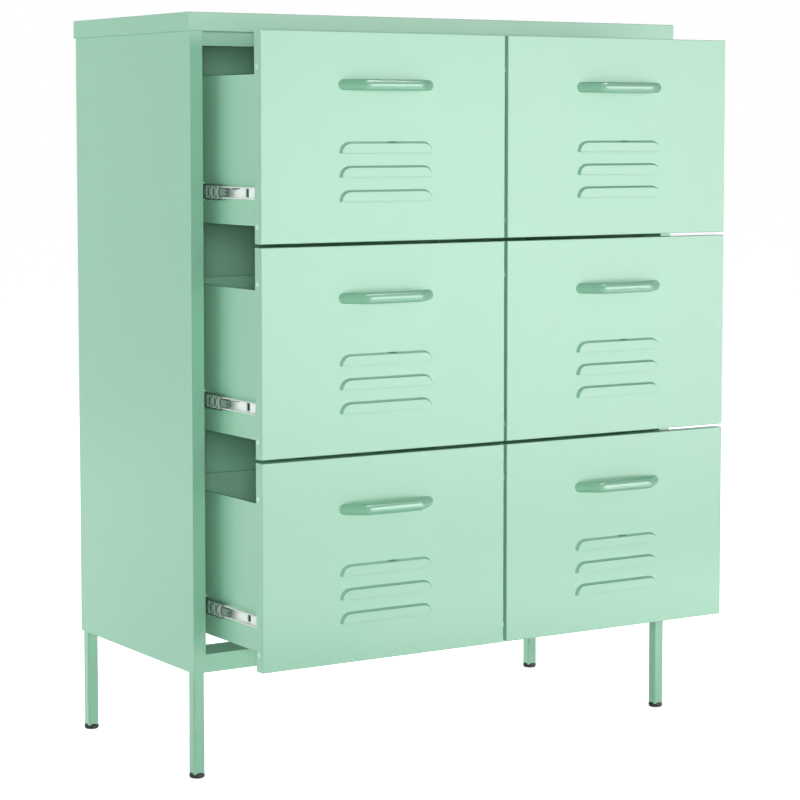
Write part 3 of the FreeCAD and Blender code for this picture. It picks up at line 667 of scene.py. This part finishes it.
@dataclass
class BallCage:
    """The strips that space the balls: a web with windows, two wings and a soft bumper.

    Attributes:
        window: Half a window's width and half its height.
        seat_profile: Rise over the web and radius, for the steel round a ball.
        dome_profile: Rise over the web and radius, for the ball that shows in it.
        bumper_edge: Depth of the bumper's rounded back edge, and the outline's scale there.
        bumper_face: Distance from the cabinet side and the outline's scale, over the ribbed face.
        lobe_bulge: A lobe's depth over half its height.
    """

    web: float = 0.0022
    wall: float = 0.0006
    half_tall: float = 0.0097
    wing: float = 0.0013
    reach: float = 0.0094
    pitch: float = 0.0150
    first_window: float = 0.0030
    window: tuple[float, float] = (0.0024, 0.0066)
    edge_steps: int = 6
    ball_level: float = 0.0060
    ball_lag: float = 0.0078
    seat_profile: tuple[tuple[float, float], ...] = ((0.0002, 0.0031), (0.0003, 0.0028))
    seat_steps: int = 20
    dome_profile: tuple[tuple[float, float], ...] = (
        (0.0003, 0.0022), (0.0006, 0.0018), (0.0008, 0.0008))
    dome_steps: int = 16
    # the sheet behind the web is a dark sheet of painted shade that darkens the windows
    shade_sheet_plane: Span = (0.0030, 0.0034)
    shade_sheet_half: float = 0.0062
    shade_sheet_inset: float = 0.0003
    bumper_far: float = 0.0086
    bumper_half: float = 0.0049
    bumper_length: float = 0.0146
    bumper_lap: float = 0.0012
    bumper_edge: Span = (0.0004, 0.95)
    bumper_face: tuple[tuple[float, float], ...] = (
        (0.0022, 1.0), (0.00175, 0.93), (0.0017, 0.80), (0.0022, 0.72), (0.0022, 0.50),
        (0.0018, 0.42))
    lobe_bulge: float = 0.999
    lobe_steps: int = 8

    def window_middles(self, front_y: float, rear_y: float) -> list[float]:
        """Returns the depth of every window's middle, from the front."""
        count = int((rear_y - front_y - self.first_window - self.window[0]) / self.pitch) + 1
        return [front_y + self.first_window + index * self.pitch for index in range(count)]

    def cell(self, piece: Piece, slide: SlideSide, y: Span, middle: float) -> None:
        """Adds one stretch of the web with its window.

        Args:
            piece: The piece that it goes into.
            slide: Where the slide stands.
            y: The stretch's ends.
            middle: The window's middle.
        """
        steps = [index / self.edge_steps for index in range(self.edge_steps)]
        low, high = -self.half_tall, self.half_tall
        edge = [(y[0] + (y[1] - y[0]) * t, low) for t in steps]
        edge += [(y[1], low + (high - low) * t) for t in steps]
        edge += [(y[1] + (y[0] - y[1]) * t, high) for t in steps]
        edge += [(y[0], high + (low - high) * t) for t in steps]
        hole = []
        for depth, up in edge:
            half = (y[1] if depth > middle else y[0]) - middle
            angle = math.atan2(up / high, (depth - middle) / abs(half))
            hole.append((middle + self.window[0] * math.cos(angle),
                         self.window[1] * math.sin(angle)))
        faces = []
        for across in (self.web, self.web + self.wall):
            faces.append([piece.ring(slide.point(across, *place) for place in line)
                          for line in (edge, hole)])
        (near_edge, near_hole), (far_edge, far_hole) = faces
        piece.skin(near_edge, near_hole)
        piece.skin(far_edge, far_hole)
        piece.skin(near_hole, far_hole)

    def ball_places(self, middles: Sequence[float]) -> list[tuple[float, float]]:
        """Returns depth and height of each ball, between a window and the next."""
        return [(middle + self.ball_lag, up)
                for middle in middles[:-1] for up in (-self.ball_level, self.ball_level)]

    def through(self, profile: Profile) -> list[tuple[float, float]]:
        """Returns a profile of rises over the web's near side, begun at its far side."""
        return [(0.0, profile[0][1])] + [(self.wall + rise, radius) for rise, radius in profile]

    def bumper_outline(self, scale: float, front_y: float) -> list[tuple[float, float]]:
        """Draws the bumper's two-lobed side view, drawn in or out about its middle.

        Args:
            scale: 1 for its full size.
            front_y: Where the cage's steel starts.

        Returns:
            Pairs of depth and height.
        """
        lobe = self.bumper_half / 2
        neck = front_y - self.bumper_length + lobe
        outline = [(front_y + self.bumper_lap, self.bumper_half)]
        for centre in (lobe, -lobe):
            for step in range(self.lobe_steps + 1):
                angle = math.radians(90 + 180 * step / self.lobe_steps)
                outline.append((neck + lobe * math.cos(angle) * self.lobe_bulge,
                                centre + lobe * math.sin(angle)))
        outline.append((front_y + self.bumper_lap, -self.bumper_half))
        middle = front_y - self.bumper_length / 2
        return [(middle + (depth - middle) * scale, up * scale) for depth, up in outline]

    def bumper(self, piece: Piece, slide: SlideSide, front_y: float) -> None:
        """Adds one bumper, with a rib round its face.

        Args:
            piece: The piece that it goes into.
            slide: Where the slide stands.
            front_y: Where the cage's steel starts.
        """
        depth, share = self.bumper_edge
        levels = ((self.bumper_far, share), (self.bumper_far - depth, 1.0), *self.bumper_face)
        piece.loft([
            piece.ring(slide.point(across, *place) for place in self.bumper_outline(scale, front_y))
            for across, scale in levels])

    def build(self, key: str, slides: Sequence[SlideSide], front_y: float,
              rear_y: float) -> tuple[Piece, Piece, Piece]:
        """Builds both cages of one drawer.

        Args:
            key: The drawer's place.
            slides: Its two slides.
            front_y: Where the steel starts.
            rear_y: Where it ends.

        Returns:
            The steel, the dark balls with the dark sheet of painted shade behind the windows, and
            the bumpers.
        """
        steel, dark, soft = (
            Piece(f"{kind}_{key}") for kind in ("cage_steel", "cage_balls", "cage_bumpers"))
        middles = self.window_middles(front_y, rear_y)
        cuts = [front_y] + [(a + b) / 2 for a, b in zip(middles, middles[1:])] + [rear_y]
        wings = ((self.half_tall - self.wing, self.half_tall),
                 (-self.half_tall, self.wing - self.half_tall))
        shade_sheet_y = (front_y + self.shade_sheet_inset, rear_y - self.shade_sheet_inset)
        for slide in slides:
            for start, end, middle in zip(cuts, cuts[1:], middles):
                self.cell(steel, slide, (start, end), middle)
            for up in wings:
                slide.bar(steel, (self.web, self.reach), (front_y, rear_y), up)
            # dark sheet behind the windows: painted shade
            slide.bar(dark, self.shade_sheet_plane, shade_sheet_y, (-self.shade_sheet_half, self.shade_sheet_half))
            away = (-slide.sense, 0, 0)
            for place in self.ball_places(middles):
                foot = slide.point(self.web + self.wall, *place)
                steel.turned(foot, away, self.through(self.seat_profile), self.seat_steps)
                dark.turned(foot, away, self.through(self.dome_profile), self.dome_steps)
            self.bumper(soft, slide, front_y)
        return steel, dark, soft


@dataclass(frozen=True)
class Lens:
    """A small lens-shaped mark that stands out of a sheet.

    Attributes:
        half: Half its width and half its height.
        proud: How far it stands out.
        root: How far it starts inside the sheet.
        shoulder: Share of proud at which it begins to draw in.
        crown: Share of its size that is left at the top.
        bow: How far its upper edge bows, from 0 for a half moon to 1.
        steps: Points in its outline.
    """

    half: tuple[float, float]
    proud: float
    root: float
    shoulder: float
    crown: float
    bow: float
    steps: int = 20

    def levels(self) -> list[list[Point]]:
        """Draws the mark's outline at its root, its shoulder and its crown.

        Returns:
            For each level, points along, up and out from the mark's middle.
        """
        turns = [2 * math.pi * index / self.steps for index in range(self.steps)]
        outline = [(math.cos(turn), math.sin(turn) * (self.bow if math.sin(turn) > 0 else 1.0))
                   for turn in turns]
        sections = ((1.0, -self.root), (1.0, self.proud * self.shoulder), (self.crown, self.proud))
        return [[(along * self.half[0] * scale, up * self.half[1] * scale, out)
                 for along, up in outline] for scale, out in sections]


@dataclass
class PressedMarks:
    """The dent in a front's top louvre, and the tongues pressed out of the inner channels."""

    dent: Lens = Lens((0.0078, 0.0011), 0.0004, root=0.0004, shoulder=0.4, crown=0.6, bow=0.8)
    dent_offset: float = 0.0085
    dent_level: float = 0.1288
    louvre_top: float = 0.1296
    louvre_slope: float = 1.5
    tongue: Lens = Lens((0.0095, 0.0024), 0.0005, root=0.0003, shoulder=0.5, crown=0.7, bow=0.2)
    tongue_at: float = 0.0805
    tongue_level: float = 0.0056
    web_across: float = 0.0115

    def build_dent(self, name: str, middle: Point) -> Piece:
        """Builds the dent of one front, which follows the louvre's slope.

        Args:
            name: The piece's name.
            middle: The front's middle on its outer face, at its lower edge.

        Returns:
            The piece.
        """
        piece = Piece(name)
        rings = []
        for level in self.dent.levels():
            points = []
            for along, up, out in level:
                height = self.dent_level + up
                slope = max(0.0, self.louvre_top - height) * self.louvre_slope
                points.append((middle[0] + self.dent_offset + along, middle[1] - out - slope,
                               middle[2] + height))
            rings.append(piece.ring(points))
        piece.loft(rings)
        return piece

    def build_tongues(self, name: str, slides: Sequence[SlideSide], face_y: float) -> Piece:
        """Builds the tongues of one drawer's inner channels.

        Args:
            name: The piece's name.
            slides: Its two slides.
            face_y: The drawer front's outer face.

        Returns:
            The piece.
        """
        piece = Piece(name)
        for slide in slides:
            piece.loft([
                piece.ring(slide.point(self.web_across - out, face_y + self.tongue_at + along,
                                       self.tongue_level + up) for along, up, out in level)
                for level in self.tongue.levels()])
        return piece


@dataclass
class Drawer:
    """One drawer: its front, box, handle, screws, slides and balls."""

    row: Row
    column: Column
    front_thick: float = 0.0159
    handle_level: float = 0.2023
    bow: HandleBow = field(default_factory=HandleBow)
    screws: SideScrews = field(default_factory=SideScrews)
    balls: BallRows = field(default_factory=BallRows)
    cages: BallCage = field(default_factory=BallCage)
    marks: PressedMarks = field(default_factory=PressedMarks)

    @property
    def key(self) -> str:
        """The drawer's place, as its node names end."""
        return f"{self.row.value}_{self.column.word}"

    def dress(self, palette: Palette) -> None:
        """Finishes the CAD pieces that show as they are.

        Args:
            palette: The materials.
        """
        for kind in ("front", "box"):
            palette.dress(f"{kind}_{self.key}", palette.paint)
        for kind in ("drawer_members", "cabinet_members"):
            palette.dress(f"{kind}_{self.key}", palette.zinc)

    def build(self, palette: Palette) -> None:
        """Builds the smooth pieces that stand for plain CAD ones, and the balls.

        Args:
            palette: The materials.
        """
        low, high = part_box(f"front_{self.key}")
        face_y = high.y - self.front_thick
        self.build_front(palette, low, high, face_y)
        self.build_slides(palette, face_y)

    def build_front(self, palette: Palette, low: Vector, high: Vector, face_y: float) -> None:
        """Builds what the drawer's front carries.

        Args:
            palette: The materials.
            low: The front's lowest corner.
            high: The front's highest corner.
            face_y: The front's outer face.
        """
        drawer, middle_x = f"drawer_{self.key}", (low.x + high.x) / 2
        handle_middle = (middle_x, face_y, low.z + self.handle_level)
        bow = self.bow.build(f"handle_bow_{self.key}", handle_middle)
        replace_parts(bow.place(drawer, Slot.PAINT, palette.enamel), f"handle_{self.key}")
        screws = self.screws.build(f"round_screws_{self.key}", low, high, face_y)
        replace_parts(screws.place(drawer, Slot.PAINT, palette.screw), f"screws_{self.key}")
        dent = self.marks.build_dent(f"louvre_dent_{self.key}", (middle_x, face_y, low.z))
        # the dent is coloured with painted shade
        dent.place(drawer, Slot.PAINT, palette.pressed)

    def build_slides(self, palette: Palette, face_y: float) -> None:
        """Builds the ball cages of the drawer's two slides and the tongues of their channels.

        Args:
            palette: The materials.
            face_y: The drawer front's outer face.
        """
        cage, side = f"cage_{self.key}", self.column.value
        low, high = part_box(f"ball_cages_{self.key}")
        steel_y, middle_z = low.y + self.cages.bumper_length, (low.z + high.z) / 2
        balls = self.balls.build(f"slide_balls_{self.key}", side, steel_y, high.y, middle_z)
        balls.place(cage, Slot.CAGE, palette.ball)
        slides = (SlideSide(side * self.balls.outer_base, -side, middle_z),
                  SlideSide(side * self.balls.inner_base, side, middle_z))
        steel, dark, soft = self.cages.build(self.key, slides, steel_y, high.y)
        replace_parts(steel.place(cage, Slot.CAGE, palette.cage), f"ball_cages_{self.key}")
        dark.place(cage, Slot.CAGE, palette.ball)
        soft.place(cage, Slot.CAGE, palette.bumper)
        tongues = self.marks.build_tongues(f"slide_tongues_{self.key}", slides, face_y)
        # the zinc tongues are coloured with the dark cage steel as painted shade
        tongues.place(f"drawer_{self.key}", Slot.ZINC, palette.cage)


# ---- the cabinet ----
@dataclass
class CabinetShell:
    """The lid, panels, rails and legs, which keep their CAD shapes, and the feet.

    Attributes:
        foot_profile: Heights and radii of a foot, from the floor up.
    """

    sheets: tuple[str, ...] = (
        "lid", "side_panel_left", "side_panel_right", "back_panel", "centre_partition",
        "top_front_rail", "bottom_front_rail", "bottom_rear_rail")
    legs: tuple[str, ...] = ("leg_front_left", "leg_front_right", "leg_rear_left", "leg_rear_right")
    foot_profile: tuple[tuple[float, float], ...] = (
        (0.0, 0.0086), (0.0005, 0.0095), (0.0016, 0.0102), (0.0032, 0.0105), (0.0048, 0.0103),
        (0.0061, 0.0096), (0.0070, 0.0086), (0.0073, 0.0078))
    foot_steps: int = 32

    def dress(self, palette: Palette) -> None:
        """Finishes every piece of the shell.

        Args:
            palette: The materials.
        """
        for node in self.sheets + self.legs:
            palette.dress(node, palette.paint)
        palette.dress("leg_bolts", palette.plated)

    def build(self, palette: Palette) -> None:
        """Turns the four feet, which swell out under their legs.

        Args:
            palette: The materials.
        """
        feet = Piece("round_feet")
        for leg in self.legs:
            low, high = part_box(leg)
            feet.turned(((low.x + high.x) / 2, (low.y + high.y) / 2, 0.0), (0, 0, 1),
                        self.foot_profile, self.foot_steps)
        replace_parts(feet.place("cabinet", Slot.BLACK, palette.black), "foot_glides")


# ---- the studio ----
class Shine(Enum):
    """What a lamp gives: its light, its reflection in the paint, or both."""

    BOTH = "both"
    DULL = "light alone"
    ONLY = "reflection alone"


@dataclass
class SoftBox:
    """A large soft lamp that stands round the cabinet."""

    name: str
    azimuth: float
    elevation: float
    distance: float
    width: float
    height: float
    power: float
    shine: Shine = Shine.BOTH

    def build(self, target: Vector) -> None:
        """Puts up the lamp, turned to a point.

        Args:
            target: Where it points.
        """
        lamp = bpy.data.lights.new(self.name, "AREA")
        lamp.shape = "RECTANGLE"
        lamp.size, lamp.size_y, lamp.energy = self.width, self.height, self.power
        thing = bpy.data.objects.new(self.name, lamp)
        turn, rise = math.radians(self.azimuth), math.radians(self.elevation)
        away = Vector((math.sin(turn) * math.cos(rise), -math.cos(turn) * math.cos(rise),
                       math.sin(rise)))
        thing.location = target + away * self.distance
        thing.rotation_euler = (-away).to_track_quat("-Z", "Y").to_euler()
        thing.visible_camera = False
        thing.visible_glossy = self.shine is not Shine.DULL
        thing.visible_diffuse = self.shine is not Shine.ONLY
        bpy.context.scene.collection.objects.link(thing)


@dataclass
class Studio:
    """A pale floor and background, soft lamps and the camera."""

    ambient: float = 0.0
    floor_size: float = 30.0
    floor_grey: float = 0.8
    floor_roughness: float = 0.9
    floor_glow: Span = (0.88, 1.0)
    floor_fade: Span = (0.8, 2.6)
    camera_place: Point = (-1.9149, -3.0012, 0.8643)
    camera_pitch: float = 4.382
    camera_yaw: float = 32.287
    focal_px: float = 2505.6
    frame_px: float = 800.0
    sensor_width: float = 36.0
    shift_y: float = -0.10
    clip: Span = (0.05, 100.0)
    target: Point = (0.0, -0.05, 0.5)
    # name, azimuth, elevation, distance, width, height, power, shine
    lamps: tuple[SoftBox, ...] = (
        SoftBox("high_softbox", 32.5, 34.0, 3.6, 2.6, 1.8, 16.0, Shine.DULL),
        SoftBox("low_softbox", 32.5, -10.0, 2.2, 2.2, 0.3, 7.0),
        SoftBox("front_lamp", -32.5, 8.0, 3.55, 0.4, 0.4, 35.0, Shine.DULL),
        SoftBox("ring_light", -32.98, 5.913, 3.537, 0.07, 0.07, 16.0, Shine.DULL),
        SoftBox("side_softbox", -130.0, 13.0, 3.6, 2.4, 2.2, 61.0, Shine.DULL),
        SoftBox("sheen_softbox", 32.5, 4.0, 3.6, 2.4, 1.5, 98.0, Shine.ONLY),
        SoftBox("low_sheen", 29.0, -25.0, 1.0, 1.3, 0.14, 3.2, Shine.ONLY),
        SoftBox("strip_softbox", 20.0, 57.0, 3.5, 2.2, 0.35, 95.0, Shine.ONLY),
        SoftBox("right_softbox", 115.0, 15.0, 3.6, 2.2, 2.2, 55.0, Shine.DULL),
        SoftBox("rear_softbox", 165.0, 50.0, 3.6, 2.6, 2.2, 70.0, Shine.DULL),
    )

    def world(self) -> None:
        """Lights the room evenly at the ambient level, which is none here, and shows it white to
        the camera, mirrored and through glass.
        """
        world = bpy.data.worlds.new("pale_room")
        bpy.context.scene.world = world
        world.use_nodes = True
        nodes = NodeSet(world.node_tree)
        background = world.node_tree.nodes["Background"]
        background.inputs["Color"].default_value = (1, 1, 1, 1)
        path = nodes.add("ShaderNodeLightPath")
        seen = nodes.add("ShaderNodeMath", operation="MAXIMUM")
        shown = nodes.add("ShaderNodeMath", operation="MAXIMUM")
        level = nodes.add("ShaderNodeMapRange")
        level.inputs["To Min"].default_value = self.ambient
        level.inputs["To Max"].default_value = 1.0
        nodes.join(path.outputs["Is Camera Ray"], seen.inputs[0])
        nodes.join(path.outputs["Is Glossy Ray"], seen.inputs[1])
        nodes.join(seen.outputs["Value"], shown.inputs[0])
        nodes.join(path.outputs["Is Transmission Ray"], shown.inputs[1])
        nodes.join(shown.outputs["Value"], level.inputs["Value"])
        nodes.join(level.outputs["Result"], background.inputs["Strength"])

    def floor(self) -> None:
        """Lays the floor, which keeps the cabinet's soft shadow."""
        half = self.floor_size / 2
        data = bpy.data.meshes.new("studio_floor")
        corners = [(-half, -half, 0), (half, -half, 0), (half, half, 0), (-half, half, 0)]
        data.from_pydata(corners, [], [(0, 1, 2, 3)])
        floor = bpy.data.objects.new("studio_floor", data)
        bpy.context.scene.collection.objects.link(floor)
        material = bpy.data.materials.new("pale_floor")
        material.use_nodes = True
        nodes = NodeSet(material.node_tree)
        shader = material.node_tree.nodes["Principled BSDF"]
        shader.inputs["Base Color"].default_value = (*(self.floor_grey,) * 3, 1)
        shader.inputs["Roughness"].default_value = self.floor_roughness
        shader.inputs["Specular IOR Level"].default_value = 0.0
        shader.inputs["Emission Color"].default_value = (1, 1, 1, 1)
        path = nodes.add("ShaderNodeLightPath")
        seen = nodes.add("ShaderNodeMath", operation="MAXIMUM")
        glow = nodes.add("ShaderNodeMath", operation="MULTIPLY")
        place = nodes.add("ShaderNodeTexCoord")
        away = nodes.add("ShaderNodeVectorMath", operation="LENGTH")
        fade = nodes.add("ShaderNodeMapRange", interpolation_type="SMOOTHSTEP")
        for ends, span in (("From", self.floor_fade), ("To", self.floor_glow)):
            fade.inputs[f"{ends} Min"].default_value = span[0]
            fade.inputs[f"{ends} Max"].default_value = span[1]
        nodes.join(place.outputs["Object"], away.inputs[0])
        nodes.join(away.outputs["Value"], fade.inputs["Value"])
        nodes.join(fade.outputs["Result"], glow.inputs[1])
        nodes.join(path.outputs["Is Camera Ray"], seen.inputs[0])
        nodes.join(path.outputs["Is Glossy Ray"], seen.inputs[1])
        nodes.join(seen.outputs["Value"], glow.inputs[0])
        nodes.join(glow.outputs["Value"], shader.inputs["Emission Strength"])
        data.materials.append(material)

    def camera(self) -> None:
        """Sets up the camera."""
        lens = bpy.data.cameras.new("studio_camera")
        lens.sensor_width = self.sensor_width
        lens.lens = self.focal_px / self.frame_px * self.sensor_width
        lens.shift_y = self.shift_y
        lens.clip_start, lens.clip_end = self.clip
        camera = bpy.data.objects.new("studio_camera", lens)
        camera.location = self.camera_place
        camera.rotation_euler = (
            math.radians(90 - self.camera_pitch), 0, math.radians(-self.camera_yaw))
        bpy.context.scene.collection.objects.link(camera)
        bpy.context.scene.camera = camera

    def build(self) -> None:
        """Sets up everything round the cabinet."""
        self.camera()
        self.world()
        self.floor()
        for lamp in self.lamps:
            lamp.build(Vector(self.target))
        bpy.context.scene.view_settings.view_transform = "Standard"


def main() -> None:
    """Builds the studio, the cabinet and its drawers."""
    logging.basicConfig(level=logging.INFO, format="%(name)s: %(message)s")
    Studio().build()
    palette = Palette()
    shell = CabinetShell()
    shell.dress(palette)
    shell.build(palette)
    for row in Row:
        for column in Column:
            drawer = Drawer(row, column)
            drawer.dress(palette)
            drawer.build(palette)


if __name__ == "__main__":
    main()
